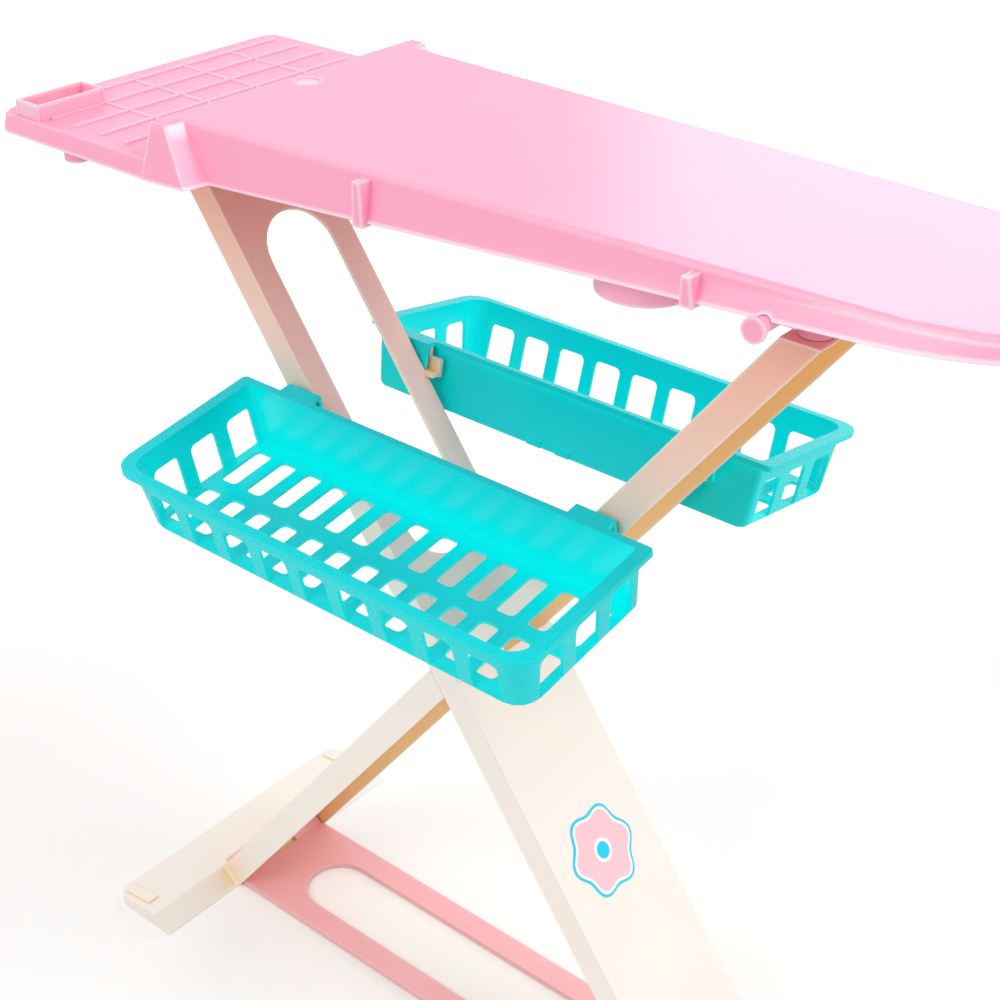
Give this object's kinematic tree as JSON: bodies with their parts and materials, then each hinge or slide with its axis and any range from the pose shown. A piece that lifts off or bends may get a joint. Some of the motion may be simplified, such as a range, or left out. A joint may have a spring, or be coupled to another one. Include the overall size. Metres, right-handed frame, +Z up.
{
  "type": "toy ironing board",
  "caption": "Toy ironing board with a tapered board, a ribbed iron rest at its wide end, crossed channel legs on broad feet, a floor stretcher and two hanging side baskets.",
  "frame": {"origin": "centre of the bounding box at floor level", "axes": "+X along the board towards its rounded nose, +Y towards the far basket, +Z up from the floor"},
  "size_m": [0.664, 0.3244, 0.607],
  "materials": {
    "pink": "smooth moulded plastic",
    "cream": "smooth moulded plastic",
    "print": "printed vinyl",
    "coral": "smooth moulded plastic",
    "turquoise": "smooth moulded plastic",
    "steel": "zinc plated"
  },
  "bodies": {
    "stand": {"board_top": "pink", "leg_slotted": "cream", "flower_sticker": "print", "leg_plain": "cream", "stretcher": "coral", "garment_peg": "pink", "screw_nose_near": "steel", "screw_nose_far": "steel", "screw_rest_near": "steel", "screw_rest_far": "steel"},
    "near_basket": {"basket_near": "turquoise"},
    "far_basket": {"basket_far": "turquoise"}
  },
  "joints": [
    {"name": "near_basket_lift", "type": "slide", "parent": "stand", "child": "near_basket", "axis": [0, -0.1685, 0.9857], "range_m": [0, 0.03]},
    {"name": "far_basket_lift", "type": "slide", "parent": "stand", "child": "far_basket", "axis": [0, 0.1685, 0.9857], "range_m": [0, 0.03]}
  ]
}
